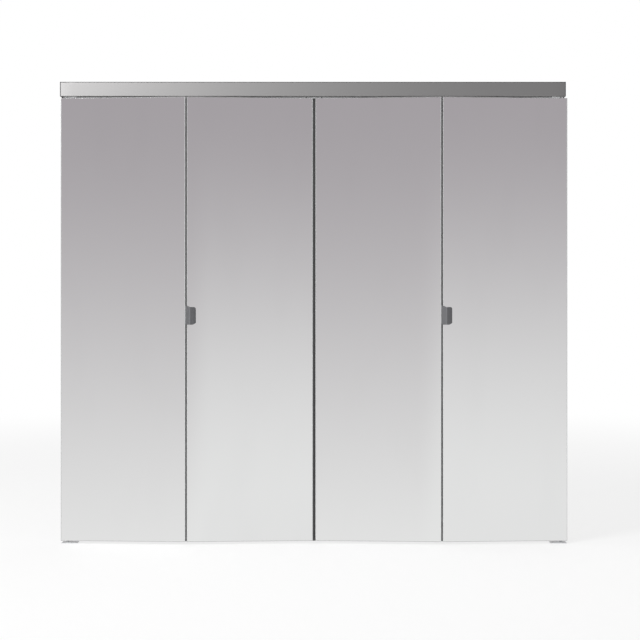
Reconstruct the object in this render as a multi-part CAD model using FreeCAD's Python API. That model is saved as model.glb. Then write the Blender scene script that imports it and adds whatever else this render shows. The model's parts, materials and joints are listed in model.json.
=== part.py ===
import FreeCAD, Part
import math
import os

# Four-panel mirrored bifold closet door, in millimetres.
# X runs to the right along the opening, Y runs back into the closet, Z runs up.
# The origin lies on the track's top face, over the middle of the door set, on
# the line that the pivots and guides share.  The mirrors face -Y.
# The doors are drawn a little open: each fold stands rest_angle off the line.

Vector = FreeCAD.Vector
UP = Vector(0, 0, 1)
RIGHT = Vector(1, 0, 0)
FORWARD = Vector(0, -1, 0)

# ---------------------------------------------------------------- opening
opening_height = 2032.0
fascia_height = 64.0
head_gap = 5.0
floor_gap = 11.0
rest_angle = 3.0
meeting_gap = 12.0
track_short_right = 10.0

# ----------------------------------------------------------------- panels
panel_width = 553.0
core_thickness = 16.0
mirror_thickness = 3.0
mirror_bevel = 1.2
edge_thickness = 1.2
fold_gap = 4.0
pivot_inset = 27.0

# ------------------------------------------------------------------ track
track_half_depth = 22.0
track_wall = 1.8
track_web = 2.5
lip_thickness = 2.0
lip_width = 10.0
rail_thickness = 2.0
rail_height = 12.0
fascia_thickness = 1.4
fascia_standoff = 2.0
fascia_bevel = 4.0
fascia_bottom_bevel = 1.6
fascia_hook = 8.0
end_cap_thickness = 3.0
end_cap_proud = 0.5
header_hole_radius = 2.75
header_hole_inner = 700.0
header_hole_margin = 60.0
header_hole_step = 20.0

# ------------------------------------------------- pins, sleeves, springs
running_clearance = 0.05
cut_margin = 1.0
sleeve_radius = 5.5
sleeve_length = 60.0
sleeve_flange_radius = 7.0
sleeve_cap = 3.0
sleeve_wall = 1.1
pin_radius = 3.0
pin_collar_length = 3.0
pin_tail_radius = 2.0
pin_tail_length = 24.0
pin_tip_chamfer = 0.8
spring_wire_radius = 0.4
spring_wire_sides = 12
spring_turns = 9
block_pin_reach = 10.0

# ------------------------------------------------------- top pivot blocks
block_outward = 13.0
block_inward = 37.0
block_slide_clearance = 0.2
block_drop = 1.0
block_flange_thickness = 5.0
block_flange_overhang = 4.5
jack_screw_radius = 3.0
jack_screw_offset = 16.0
jack_screw_recess = 2.0
jack_socket_radius = 1.6
jack_socket_depth = 4.0

# ----------------------------------------------------------- guide wheels
wheel_side_play = 0.5
wheel_thickness = 4.2
wheel_below_rail_top = 4.0
wheel_end_play = 0.1
wheel_rim_chamfer = 0.6
wheel_head_radius = 4.5
wheel_head_thickness = 0.8
bumper_wheel_gap = 1.5
bumper_slide_clearance = 0.2
bumper_drop = 1.0
bumper_bolt_radius = 2.5
bumper_bolt_head_radius = 5.0
bumper_bolt_head = 2.0

# ----------------------------------------------------------- bottom pivot
bottom_sleeve_length = 45.0
bottom_stem_radius = 3.5
bottom_stem_length = 40.0
bottom_hex_flats = 12.0
bottom_hex_height = 5.0
floor_plate_thickness = 3.0
floor_plate_front = 14.0
floor_plate_back = 25.0
floor_plate_outward = 24.0
floor_plate_inward = 46.0
floor_rib_height = 2.0
floor_rib_width = 12.0
floor_rib_margin = 7.0
floor_cup_count = 3
floor_cup_spacing = 14.0
floor_cup_floor = 1.0
floor_pin_lift = 0.1
floor_screw_radius = 2.3
floor_screw_spacing = 44.0
floor_screw_line = 17.0
floor_screw_countersink = 4.6

# ----------------------------------------------------------------- hinges
hinge_rise = 3.0
hinge_height = 76.0
hinge_end_distance = 180.0
leaf_thickness = 2.0
leaf_width = 30.0
leaf_relief = 0.4
knuckle_clearance = 0.1
knuckle_count = 5
knuckle_play = 0.2
hinge_pin_radius = 1.5
hinge_pin_head_radius = 2.4
hinge_pin_head = 1.2
hinge_screw_spread = 26.0
hinge_screw_near = 13.0
hinge_screw_far = 22.0
screw_radius = 1.6
screw_head_radius = 3.4
screw_head_land = 0.3
screw_length = 13.0
screw_slot_half_length = 2.0
screw_slot_width = 0.7
screw_slot_depth = 0.6

# ------------------------------------------------------------------ seals
fold_seal_clearance = 0.3
fold_seal_tail = 14.0
fold_seal_thickness = 1.2
fold_seal_end_gap = 0.3
meeting_seal_inset = 1.5
meeting_seal_gap = 1.9
meeting_seal_slant = 3.5

# ----------------------------------------------------------- finger pulls
pull_height_above_middle = 19.4
pull_flange = 1.4
pull_flange_depth = 15.0
pull_thickness = 2.6
pull_toe_overlap = 2.3
pull_toe_gap = 0.5
pull_toe_rise = 1.0
pull_inner_shift = 1.0
pull_ridge_x = 16.5
pull_ridge_rise = 22.0
pull_lip_x = 41.0
pull_lip_rise = 17.0
pull_curl = 5.5
pull_curl_fall = 2.5
pull_ridge_round = 4.0
pull_top = 43.0
pull_notch = 34.2
pull_lip_top = 35.0
pull_corner = 9.0
pull_right_bottom = 33.5
pull_bottom_bulge = 1.4
pull_bottom = 42.4
pull_bottom_right = 25.0
pull_bottom_left = 5.0
pull_toe_bottom = 38.5
pull_screw_spread = 22.0
pull_screw_centre = 5.0
pull_screw_radius = 1.5
pull_screw_length = 16.0
pull_screw_head_radius = 2.6
pull_screw_head = 1.1
pull_screw_forward = 4.0

# --------------------------------------------------- places worked out
half_core = core_thickness / 2
panel_front = -half_core - mirror_thickness
panel_back = half_core
panel_top = -fascia_height - head_gap
panel_bottom = -opening_height + floor_gap
panel_middle = (panel_top + panel_bottom) / 2
near_edge = fold_gap / 2
far_edge = near_edge + panel_width
hinge_axis_y = panel_back + hinge_rise
pivot_reach = far_edge - pivot_inset

track_bottom = -fascia_height + fascia_thickness
rail_inner = track_half_depth - lip_width
rail_top = track_bottom + rail_height
rail_outer = rail_inner + rail_thickness

theta = math.radians(rest_angle)
rest_span = 2 * (pivot_reach * math.cos(theta) + hinge_axis_y * math.sin(theta))
meeting_corner = pivot_inset * math.cos(theta) - panel_front * math.sin(theta)
guide_x = -meeting_gap / 2 - meeting_corner
pivot_x = guide_x - rest_span
jamb_edge_x = pivot_x - pivot_inset * math.cos(theta) + panel_front * math.sin(theta)
track_left = jamb_edge_x
track_right = -jamb_edge_x - track_short_right
header_hole_reach = 2 * (track_right - header_hole_margin)
header_hole_outer = header_hole_step * math.floor(header_hole_reach / header_hole_step)

sleeve_bore = sleeve_radius - sleeve_wall
spring_mean_radius = (pin_tail_radius + sleeve_bore) / 2
wheel_radius = rail_inner - wheel_side_play
knuckle_radius = hinge_rise - knuckle_clearance
fold_seal_radius = hinge_rise - fold_seal_clearance
screw_head_depth = leaf_thickness - screw_head_land

hinge_heights = [
    panel_top - hinge_end_distance,
    panel_middle,
    panel_bottom + hinge_end_distance,
]

saved = []


# ------------------------------------------------------------ small helpers
def box(x0, x1, y0, y1, z0, z1):
    """A box between two corners, given in any order."""
    low = Vector(min(x0, x1), min(y0, y1), min(z0, z1))
    return Part.makeBox(abs(x1 - x0), abs(y1 - y0), abs(z1 - z0), low)


def rod(radius, x, y, z0, z1):
    """An upright cylinder from z0 up to z1."""
    return Part.makeCylinder(radius, z1 - z0, Vector(x, y, z0), UP)


def clear_rod(radius, x, y, z0, z1):
    """An upright cylinder that leaves running clearance round a pin."""
    return rod(radius + running_clearance, x, y, z0, z1)


def prism(points, z0, z1):
    """Extrude a plan outline, given as (x, y) points, from z0 up to z1."""
    corners = [Vector(x, y, z0) for x, y in points]
    face = Part.Face(Part.makePolygon(corners + corners[:1]))
    return face.extrude(Vector(0, 0, z1 - z0))


def bar(points, x0, x1):
    """Extrude a cross-section, given as (y, z) points, from x0 to x1."""
    corners = [Vector(x0, y, z) for y, z in points]
    face = Part.Face(Part.makePolygon(corners + corners[:1]))
    return face.extrude(Vector(x1 - x0, 0, 0))


def turned(points, x, y):
    """Turn an upright profile, given as (radius, z) points, about its axis."""
    corners = [Vector(x + radius, y, z) for radius, z in points]
    face = Part.Face(Part.makePolygon(corners + corners[:1]))
    return face.revolve(Vector(x, y, 0), UP, 360)


def joined(shapes):
    """One solid from shapes that share faces or overlap."""
    return shapes[0].fuse(shapes[1:]).removeSplitter()


def group(shapes):
    """Several loose solids kept side by side in one node."""
    return Part.makeCompound(shapes)


def mirrored(shape):
    """The same shape on the other side of the middle of the opening."""
    return shape.mirror(Vector(0, 0, 0), RIGHT)


def save(name, shape):
    """Write one node's solids to its own STEP file."""
    if not shape.isValid():
        raise ValueError(name + " is not a valid shape")
    shape.exportStep("parts/" + name + ".step")
    saved.append(name)


# ----------------------------------------------- where the panels stand
# A door unit is drawn closed, with the middle of its fold gap at x = 0 and
# its panels' core centred on y = 0.  The pivot panel lies on the -x side.
# These two moves carry it to its rest place in the left half of the opening.
def turn_point(x, y, angle, about_x, about_y):
    """Turn a plan point about another one, angle in radians."""
    dx = x - about_x
    dy = y - about_y
    turned_x = about_x + dx * math.cos(angle) - dy * math.sin(angle)
    turned_y = about_y + dx * math.sin(angle) + dy * math.cos(angle)
    return turned_x, turned_y


def pivot_point(x, y):
    """Rest place of a plan point of the left pivot panel."""
    x, y = turn_point(x, y, -theta, -pivot_reach, 0)
    return x + pivot_reach + pivot_x, y


fold_x, fold_y = pivot_point(0, hinge_axis_y)


def lead_point(x, y):
    """Rest place of a plan point of the left lead panel."""
    x, y = turn_point(x, y, theta, 0, hinge_axis_y)
    return x + fold_x, y + fold_y - hinge_axis_y


def on_pivot_panel(shape):
    """Carry a shape from the closed drawing to the left pivot panel."""
    moved = shape.copy()
    moved.rotate(Vector(-pivot_reach, 0, 0), UP, -rest_angle)
    moved.translate(Vector(pivot_reach + pivot_x, 0, 0))
    return moved


def on_lead_panel(shape):
    """Carry a shape from the closed drawing to the left lead panel."""
    moved = shape.copy()
    moved.rotate(Vector(0, hinge_axis_y, 0), UP, rest_angle)
    moved.translate(Vector(fold_x, fold_y - hinge_axis_y, 0))
    return moved


# ---------------------------------------------------------------- the track
def track_section():
    """Half closed channel: top web, two walls, two lips and two rails."""
    wall_inner = track_half_depth - track_wall
    lip_top = track_bottom + lip_thickness
    half = [
        (rail_inner, rail_top),
        (rail_inner, track_bottom),
        (track_half_depth, track_bottom),
        (track_half_depth, 0),
    ]
    inside = [
        (wall_inner, -track_web),
        (wall_inner, lip_top),
        (rail_outer, lip_top),
        (rail_outer, rail_top),
    ]
    front = [(-y, z) for y, z in reversed(half)]
    front_inside = [(-y, z) for y, z in reversed(inside)]
    return half + front + front_inside + inside


def header_hole_places():
    """Screw holes through the track's top web, in two symmetric pairs."""
    halves = [header_hole_outer / 2, header_hole_inner / 2]
    return [side * half for half in halves for side in (-1, 1)]


def make_track():
    """Extruded aluminium channel that hangs the doors, with screw holes."""
    start = track_left + end_cap_thickness
    end = track_right - end_cap_thickness
    channel = bar(track_section(), start, end)
    low = -track_web - cut_margin
    holes = [rod(header_hole_radius, x, 0, low, cut_margin) for x in header_hole_places()]
    bolt_hole = clear_rod(bumper_bolt_radius, 0, 0, low, cut_margin)
    return channel.cut(holes + [bolt_hole])


def fascia_outline():
    """Front of the fascia, as (y, z) points from its top to its bottom."""
    face = -track_half_depth - fascia_standoff - fascia_thickness
    return [
        (-track_half_depth, 0),
        (-track_half_depth - fascia_thickness, 0),
        (face, -fascia_bevel),
        (face, -fascia_height + fascia_bottom_bevel),
        (-track_half_depth - fascia_thickness, -fascia_height),
    ]


def make_fascia():
    """Bright cover that clips on the front wall and hooks under its lip."""
    face = -track_half_depth - fascia_standoff
    outer = fascia_outline()
    hook = [
        (-track_half_depth + fascia_hook, -fascia_height),
        (-track_half_depth + fascia_hook, track_bottom),
        (-track_half_depth, track_bottom),
        (face, track_bottom + fascia_bottom_bevel - fascia_thickness),
        (face, -fascia_bevel),
        (-track_half_depth, -fascia_thickness),
    ]
    start = track_left + end_cap_thickness
    end = track_right - end_cap_thickness
    return bar(outer + hook, start, end)


def make_end_cap(x0, x1):
    """Plate that closes one end of the track and frames its fascia."""
    front = [(y - end_cap_proud, z) for y, z in fascia_outline()[1:]]
    back = [(track_half_depth, -fascia_height), (track_half_depth, 0)]
    return bar(front + back, x0, x1)


def make_centre_bumper():
    """Rubber stop between the rails, where the two guide wheels meet."""
    half_length = -guide_x - wheel_radius - bumper_wheel_gap
    half_width = rail_inner - bumper_slide_clearance
    wing = rail_outer + rail_thickness
    low = track_bottom + bumper_drop
    high = rail_top + rail_thickness
    body = box(-half_length, half_length, -half_width, half_width, low, high)
    wings = box(-half_length, half_length, -wing, wing, rail_top, high)
    hole = clear_rod(bumper_bolt_radius, 0, 0, low - cut_margin, high + cut_margin)
    return joined([body, wings]).cut(hole)


def make_centre_bolt():
    """Bolt through the bumper and the top web, head under the bumper."""
    low = track_bottom + bumper_drop
    shank = rod(bumper_bolt_radius, 0, 0, low, -track_web / 2)
    head = rod(bumper_bolt_head_radius, 0, 0, low - bumper_bolt_head, low)
    return joined([shank, head])


def make_top_block():
    """Zinc block that rides on the rails and takes the top pivot pin."""
    outer_end = pivot_x - block_outward
    inner_end = pivot_x + block_inward
    half_width = rail_inner - block_slide_clearance
    wing = rail_outer + block_flange_overhang
    low = track_bottom + block_drop
    high = rail_top + block_flange_thickness
    body = box(outer_end, inner_end, -half_width, half_width, low, high)
    wings = box(outer_end, inner_end, -wing, wing, rail_top, high)
    screw_x = pivot_x + jack_screw_offset
    bore = clear_rod(pin_radius, pivot_x, 0, low - cut_margin, high + cut_margin)
    thread = clear_rod(jack_screw_radius, screw_x, 0, low - cut_margin, high + cut_margin)
    return joined([body, wings]).cut([bore, thread])


def make_jack_screw():
    """Long set screw that jams the block down on the rails."""
    x = pivot_x + jack_screw_offset
    low = track_bottom + block_drop + jack_screw_recess
    screw = rod(jack_screw_radius, x, 0, low, -track_web)
    socket = prism(hexagon(x, 0, jack_socket_radius), low, low + jack_socket_depth)
    return screw.cut(socket)


def hexagon(x, y, corner_radius):
    """Plan outline of a hexagon."""
    angles = [corner * math.tau / 6 for corner in range(6)]
    return [(x + corner_radius * math.cos(a), y + corner_radius * math.sin(a)) for a in angles]


# -------------------------------------------------------------- the panels
def panel_x(side, distance):
    """Place at a distance into a panel from its fold edge; side is -1 or 1."""
    return side * (near_edge + distance)


def sleeve_place(side):
    """The line that the pivots or the guide of a panel stand on."""
    return side * pivot_reach


def hinge_screw_places():
    """Screw places of one hinge leaf: distance from the fold, and height."""
    rows = [(hinge_screw_near, -hinge_screw_spread), (hinge_screw_near, hinge_screw_spread)]
    return rows + [(hinge_screw_far, 0)]


def all_hinge_screws(side):
    """Every hinge screw place of one panel, as (x, z)."""
    return [
        (side * distance, height + rise)
        for height in hinge_heights
        for distance, rise in hinge_screw_places()
    ]


def make_core(side, holes):
    """Fibreboard core, with the holes bored for its hardware."""
    inner = edge_thickness
    outer = panel_width - edge_thickness
    low = panel_bottom + edge_thickness
    high = panel_top - edge_thickness
    core = box(panel_x(side, inner), panel_x(side, outer), -half_core, half_core, low, high)
    radius = screw_radius + running_clearance
    pilots = [
        Part.makeCylinder(radius, screw_length, Vector(x, panel_back, z), FORWARD)
        for x, z in all_hinge_screws(side)
    ]
    return core.cut(pilots + holes)


def make_mirror(side):
    """Sheet of mirror glass over the core, its front edges bevelled."""
    inner = edge_thickness
    outer = panel_width - edge_thickness
    low = panel_bottom + edge_thickness
    high = panel_top - edge_thickness
    sheet = box(panel_x(side, inner), panel_x(side, outer), panel_front, -half_core, low, high)
    middle = panel_front + mirror_thickness / 2
    front_edges = [edge for edge in sheet.Edges if edge.BoundBox.YMax < middle]
    return sheet.makeChamfer(mirror_bevel, front_edges)


def make_edge_strips(side, holes):
    """Four flat bright strips round the edges of a panel."""
    def strip(x0, x1, z0, z1):
        return box(x0, x1, panel_front, panel_back, z0, z1).cut(holes)

    fold = panel_x(side, 0)
    inner = panel_x(side, edge_thickness)
    outer = panel_x(side, panel_width - edge_thickness)
    end = panel_x(side, panel_width)
    return group([
        strip(fold, inner, panel_bottom, panel_top),
        strip(outer, end, panel_bottom, panel_top),
        strip(inner, outer, panel_bottom, panel_bottom + edge_thickness),
        strip(inner, outer, panel_top - edge_thickness, panel_top),
    ])


def top_sleeve_hole(side):
    """Room for a top sleeve in the core and in the top edge strip."""
    x = sleeve_place(side)
    high = panel_top + cut_margin
    tube = clear_rod(sleeve_radius, x, 0, panel_top - sleeve_length, high)
    flange = clear_rod(sleeve_flange_radius, x, 0, panel_top - edge_thickness, high)
    return joined([tube, flange])


def bottom_sleeve_hole(side):
    """Room for the bottom sleeve in the core and in the bottom strip."""
    x = sleeve_place(side)
    low = panel_bottom - cut_margin
    tube = clear_rod(sleeve_radius, x, 0, low, panel_bottom + bottom_sleeve_length)
    flange = clear_rod(sleeve_flange_radius, x, 0, low, panel_bottom + edge_thickness)
    return joined([tube, flange])


def make_top_sleeve(side):
    """Nylon sleeve pressed in the top edge; its cap stops the pin's collar."""
    x = sleeve_place(side)
    bottom = panel_top - sleeve_length
    mouth = pin_radius + running_clearance
    profile = [
        (mouth, panel_top),
        (sleeve_flange_radius, panel_top),
        (sleeve_flange_radius, panel_top - edge_thickness),
        (sleeve_radius, panel_top - edge_thickness),
        (sleeve_radius, bottom),
        (sleeve_bore, bottom),
        (sleeve_bore, panel_top - sleeve_cap),
        (mouth, panel_top - sleeve_cap),
    ]
    return turned(profile, x, 0)


def make_bottom_sleeve(side):
    """Nylon sleeve in the bottom edge, threaded for the bottom pivot."""
    x = sleeve_place(side)
    top = panel_bottom + bottom_sleeve_length
    bore = bottom_stem_radius + running_clearance
    profile = [
        (bore, panel_bottom),
        (sleeve_flange_radius, panel_bottom),
        (sleeve_flange_radius, panel_bottom + edge_thickness),
        (sleeve_radius, panel_bottom + edge_thickness),
        (sleeve_radius, top),
        (bore, top),
    ]
    return turned(profile, x, 0)


def sprung_pin_foot():
    """Collar and tail of a sprung pin, as (radius, z) points going down."""
    collar_radius = sleeve_bore - running_clearance
    collar_top = panel_top - sleeve_cap
    collar_bottom = collar_top - pin_collar_length
    return [
        (pin_radius, collar_top),
        (collar_radius, collar_top),
        (collar_radius, collar_bottom),
        (pin_tail_radius, collar_bottom),
        (pin_tail_radius, collar_bottom - pin_tail_length),
        (0, collar_bottom - pin_tail_length),
    ]


def make_top_pin():
    """Sprung pin that turns in the top block and presses down to release."""
    tip = track_bottom + block_drop + block_pin_reach
    head = [
        (0, tip),
        (pin_radius - pin_tip_chamfer, tip),
        (pin_radius, tip - pin_tip_chamfer),
    ]
    return turned(head + sprung_pin_foot(), -pivot_reach, 0)


def wheel_top():
    """Height of the guide wheel's upper face."""
    return rail_top - wheel_below_rail_top


def make_guide_pin():
    """Sprung pin of the lead panel, which carries the guide wheel."""
    head_bottom = wheel_top() + wheel_end_play
    shoulder_top = wheel_top() - wheel_thickness - wheel_end_play
    head = [
        (0, head_bottom + wheel_head_thickness),
        (wheel_head_radius, head_bottom + wheel_head_thickness),
        (wheel_head_radius, head_bottom),
        (pin_radius, head_bottom),
        (pin_radius, shoulder_top),
        (wheel_head_radius, shoulder_top),
        (wheel_head_radius, shoulder_top - wheel_head_thickness),
        (pin_radius, shoulder_top - wheel_head_thickness),
    ]
    return turned(head + sprung_pin_foot(), pivot_reach, 0)


def make_guide_wheel():
    """Nylon wheel that rolls between the rails of the track."""
    top = wheel_top()
    low = top - wheel_thickness
    bore = pin_radius + running_clearance
    profile = [
        (bore, top),
        (wheel_radius - wheel_rim_chamfer, top),
        (wheel_radius, top - wheel_rim_chamfer),
        (wheel_radius, low + wheel_rim_chamfer),
        (wheel_radius - wheel_rim_chamfer, low),
        (bore, low),
    ]
    return turned(profile, pivot_reach, 0)


def make_spring(side):
    """Coil spring between a pin's collar and the bottom of its hole."""
    top = panel_top - sleeve_cap - pin_collar_length - spring_wire_radius
    bottom = panel_top - sleeve_length + spring_wire_radius
    pitch = (top - bottom) / spring_turns
    helix = Part.makeHelix(pitch, top - bottom, spring_mean_radius)
    angles = [corner * math.tau / spring_wire_sides for corner in range(spring_wire_sides)]
    corners = [
        Vector(spring_mean_radius + spring_wire_radius * math.cos(a), 0, spring_wire_radius * math.sin(a))
        for a in angles
    ]
    section = Part.makePolygon(corners + corners[:1])
    coil = Part.Wire(helix.Edges).makePipeShell([section], True, True)
    coil.translate(Vector(sleeve_place(side), 0, bottom))
    return coil


def make_bottom_pin():
    """Bottom pivot: threaded stem, hexagon for the spanner, round tip."""
    x = -pivot_reach
    hex_low = panel_bottom - bottom_hex_height
    corner_radius = bottom_hex_flats / 2 / math.cos(math.pi / 6)
    stem = rod(bottom_stem_radius, x, 0, panel_bottom, panel_bottom + bottom_stem_length)
    nut = prism(hexagon(x, 0, corner_radius), hex_low, panel_bottom)
    tip_low = -opening_height + floor_cup_floor + floor_pin_lift
    tip = rod(pin_radius, x, 0, tip_low, hex_low)
    return joined([stem, nut, tip])


def make_floor_plate():
    """Steel plate screwed to the floor, with a row of cups for the pin."""
    floor = -opening_height
    plate_top = floor + floor_plate_thickness
    rib_top = plate_top + floor_rib_height
    left = pivot_x - floor_plate_outward
    right = pivot_x + floor_plate_inward
    plate = box(left, right, -floor_plate_front, floor_plate_back, floor, plate_top)
    cups_x = [pivot_x + step * floor_cup_spacing for step in range(floor_cup_count)]
    rib_left = cups_x[0] - floor_rib_margin
    rib_right = cups_x[-1] + floor_rib_margin
    half_rib = floor_rib_width / 2
    rib = box(rib_left, rib_right, -half_rib, half_rib, plate_top, rib_top)
    cup_floor = floor + floor_cup_floor
    cups = [clear_rod(pin_radius, x, 0, cup_floor, rib_top + cut_margin) for x in cups_x]
    return joined([plate, rib]).cut(cups + floor_screw_holes())


def floor_screw_holes():
    """Two countersunk holes through the floor plate, behind the cups."""
    low = -opening_height - cut_margin
    plate_top = -opening_height + floor_plate_thickness
    middle = pivot_x + (floor_plate_inward - floor_plate_outward) / 2
    screws_x = [middle + side * floor_screw_spacing / 2 for side in (-1, 1)]
    holes = [
        rod(floor_screw_radius, x, floor_screw_line, low, plate_top + cut_margin)
        for x in screws_x
    ]
    sinks = [countersink(x, floor_screw_line, plate_top) for x in screws_x]
    return holes + sinks


def countersink(x, y, top):
    """Cone that lets a flat-headed floor screw sink flush."""
    depth = floor_screw_countersink - floor_screw_radius
    foot = Vector(x, y, top - depth)
    return Part.makeCone(floor_screw_radius, floor_screw_countersink, depth, foot, UP)


# -------------------------------------------------------------- the hinges
def knuckle_spans(height, side):
    """Heights of one leaf's knuckles: outer ones on the pivot side."""
    step = hinge_height / knuckle_count
    base = height - hinge_height / 2
    play = knuckle_play / 2
    first = 0 if side < 0 else 1
    return [
        (base + index * step + play, base + (index + 1) * step - play)
        for index in range(first, knuckle_count, 2)
    ]


def make_leaf(side, height):
    """One hinge leaf on the back of a panel, with its knuckles."""
    leaf_top = panel_back + leaf_thickness
    relief = side * (knuckle_radius + leaf_relief)
    low = height - hinge_height / 2 + knuckle_play / 2
    high = height + hinge_height / 2 - knuckle_play / 2
    pieces = [box(relief, side * leaf_width, panel_back, leaf_top, low, high)]
    for z0, z1 in knuckle_spans(height, side):
        pieces.append(box(0, relief, panel_back, leaf_top, z0, z1))
        pieces.append(rod(knuckle_radius, 0, hinge_axis_y, z0, z1))
    bore = clear_rod(hinge_pin_radius, 0, hinge_axis_y, low - cut_margin, high + cut_margin)
    screws = [
        screw_body(side * distance, height + rise, running_clearance)
        for distance, rise in hinge_screw_places()
    ]
    return joined(pieces).cut([bore] + screws)


def screw_body(x, z, clearance):
    """Flat-headed wood screw driven forward into the back of a panel."""
    start = Vector(x, panel_back + leaf_thickness, z)
    head_radius = screw_head_radius + clearance
    radius = screw_radius + clearance
    head = Part.makeCone(head_radius, radius, screw_head_depth, start, FORWARD)
    shank = Part.makeCylinder(radius, leaf_thickness + screw_length, start, FORWARD)
    return joined([head, shank])


def make_hinge_screws(side):
    """All the hinge screws of one panel, with a cross in each head."""
    top = panel_back + leaf_thickness
    low = top - screw_slot_depth
    high = top + cut_margin
    long = screw_slot_half_length
    short = screw_slot_width / 2
    screws = []
    for x, z in all_hinge_screws(side):
        across = box(x - long, x + long, low, high, z - short, z + short)
        upright = box(x - short, x + short, low, high, z - long, z + long)
        screws.append(screw_body(x, z, 0).cut([across, upright]))
    return group(screws)


def make_hinge_pins():
    """Three hinge pins with a head at each end."""
    pins = []
    for height in hinge_heights:
        low = height - hinge_height / 2 + knuckle_play / 2
        high = height + hinge_height / 2 - knuckle_play / 2
        shank = rod(hinge_pin_radius, 0, hinge_axis_y, low, high)
        foot = rod(hinge_pin_head_radius, 0, hinge_axis_y, low - hinge_pin_head, low)
        head = rod(hinge_pin_head_radius, 0, hinge_axis_y, high, high + hinge_pin_head)
        pins.append(joined([shank, foot, head]))
    return group(pins)


# --------------------------------------------------------------- the seals
def make_fold_seal():
    """Vinyl bead on the hinge line, in lengths between the hinges."""
    reach = hinge_height / 2 + hinge_pin_head + fold_seal_end_gap
    tops = [panel_top] + [height - reach for height in hinge_heights]
    bottoms = [height + reach for height in hinge_heights] + [panel_bottom]
    lengths = []
    for high, low in zip(tops, bottoms):
        bead = rod(fold_seal_radius, 0, hinge_axis_y, low, high)
        tail = box(-fold_seal_tail, 0, panel_back, panel_back + fold_seal_thickness, low, high)
        lengths.append(joined([bead, tail]))
    return group(lengths)


def meeting_edge(y):
    """Rest place of a point on the left lead panel's meeting edge."""
    return lead_point(far_edge, y)


def slanted_face(offset):
    """Front and back end of the slanted meeting face, moved along x."""
    front = meeting_edge(panel_front + meeting_seal_inset)
    back = meeting_edge(panel_back - meeting_seal_inset)
    return (meeting_seal_slant + offset, front[1]), (-meeting_seal_slant + offset, back[1])


def meeting_seal_offset():
    """Half the clear gap between the slanted faces, measured along x."""
    depth = panel_back - panel_front - 2 * meeting_seal_inset
    slope = math.atan2(2 * meeting_seal_slant, depth)
    return meeting_seal_gap / 2 / math.cos(slope)


def make_left_meeting_seal():
    """Vinyl strip on the left lead edge, wide in front, narrow behind."""
    front = meeting_edge(panel_front + meeting_seal_inset)
    back = meeting_edge(panel_back - meeting_seal_inset)
    face_front, face_back = slanted_face(-meeting_seal_offset())
    return prism([front, face_front, face_back, back], panel_bottom, panel_top)


def make_right_meeting_seal():
    """Matching strip on the right lead edge, narrow in front."""
    front_x, front_y = meeting_edge(panel_front + meeting_seal_inset)
    back_x, back_y = meeting_edge(panel_back - meeting_seal_inset)
    face_front, face_back = slanted_face(meeting_seal_offset())
    outline = [(-front_x, front_y), (-back_x, back_y), face_back, face_front]
    return prism(outline, panel_bottom, panel_top)


# --------------------------------------------------------- the finger pulls
pull_middle = panel_middle + pull_height_above_middle
pull_toe_x = -near_edge - pull_toe_overlap


def pull_section():
    """Plan outline: flange in the fold gap, toe over it, slope, ridge and curled lip.

    The toe reaches a little over the next panel's mirror, clear in front of it.
    """
    outer_x = near_edge - pull_flange
    flange_back = panel_front + pull_flange_depth
    toe_back = panel_front - pull_toe_gap
    wall = Vector(0, pull_thickness, 0)
    toe = Vector(pull_toe_x, toe_back - pull_toe_rise, 0)
    ridge = Vector(pull_ridge_x, panel_front - pull_ridge_rise, 0)
    tip = Vector(pull_lip_x, panel_front - pull_lip_rise, 0)
    curl = tip - Vector(pull_curl, pull_curl_fall, 0)
    before = ridge + (toe - ridge).normalize() * pull_ridge_round
    after = ridge + (curl - ridge).normalize() * pull_ridge_round
    chord_middle = (before + after) / 2
    crown = (chord_middle + ridge) / 2
    points = [
        after,
        curl,
        tip,
        tip + wall,
        curl + wall,
        ridge + wall + Vector(pull_inner_shift, 0, 0),
        Vector(near_edge, panel_front, 0),
        Vector(near_edge, flange_back, 0),
        Vector(outer_x, flange_back, 0),
        Vector(outer_x, toe_back, 0),
        Vector(pull_toe_x, toe_back, 0),
        toe,
        before,
    ]
    lines = [Part.makeLine(a, b) for a, b in zip(points, points[1:])]
    return Part.Face(Part.Wire([Part.Arc(before, crown, after).toShape()] + lines))


def pull_outline():
    """Front outline of the pull, as a face that is pushed through in y."""
    start = panel_front - pull_ridge_rise - cut_margin

    def at(x, z):
        return Vector(x, start, pull_middle + z)

    corner_in = pull_lip_x - pull_corner
    corner_mid = pull_corner * (1 - math.cos(math.pi / 4))
    corner_low = pull_lip_top - pull_corner
    corner_middle = at(pull_lip_x - corner_mid, pull_lip_top - corner_mid)
    side_end = at(pull_lip_x, -pull_right_bottom)
    bottom_end = at(pull_bottom_right, -pull_bottom)
    chord = bottom_end - side_end
    outward = Vector(-chord.z, 0, chord.x).normalize()
    belly = (side_end + bottom_end) / 2 + outward * pull_bottom_bulge
    points = [
        bottom_end,
        at(pull_bottom_left, -pull_bottom),
        at(pull_toe_x, -pull_toe_bottom),
        at(pull_toe_x, pull_top),
        at(pull_ridge_x, pull_notch),
        at(pull_ridge_x + pull_ridge_round, pull_lip_top),
        at(corner_in, pull_lip_top),
    ]
    lines = [Part.makeLine(a, b) for a, b in zip(points, points[1:])]
    side_start = at(pull_lip_x, corner_low)
    top_corner = Part.Arc(points[-1], corner_middle, side_start).toShape()
    side = Part.makeLine(side_start, side_end)
    bottom_corner = Part.Arc(side_end, belly, bottom_end).toShape()
    return Part.Face(Part.Wire(lines + [top_corner, side, bottom_corner]))


def pull_screw_places():
    """Heights of the two screws that hold a pull."""
    middle = pull_middle + pull_screw_centre
    return [middle - pull_screw_spread, middle + pull_screw_spread]


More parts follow.
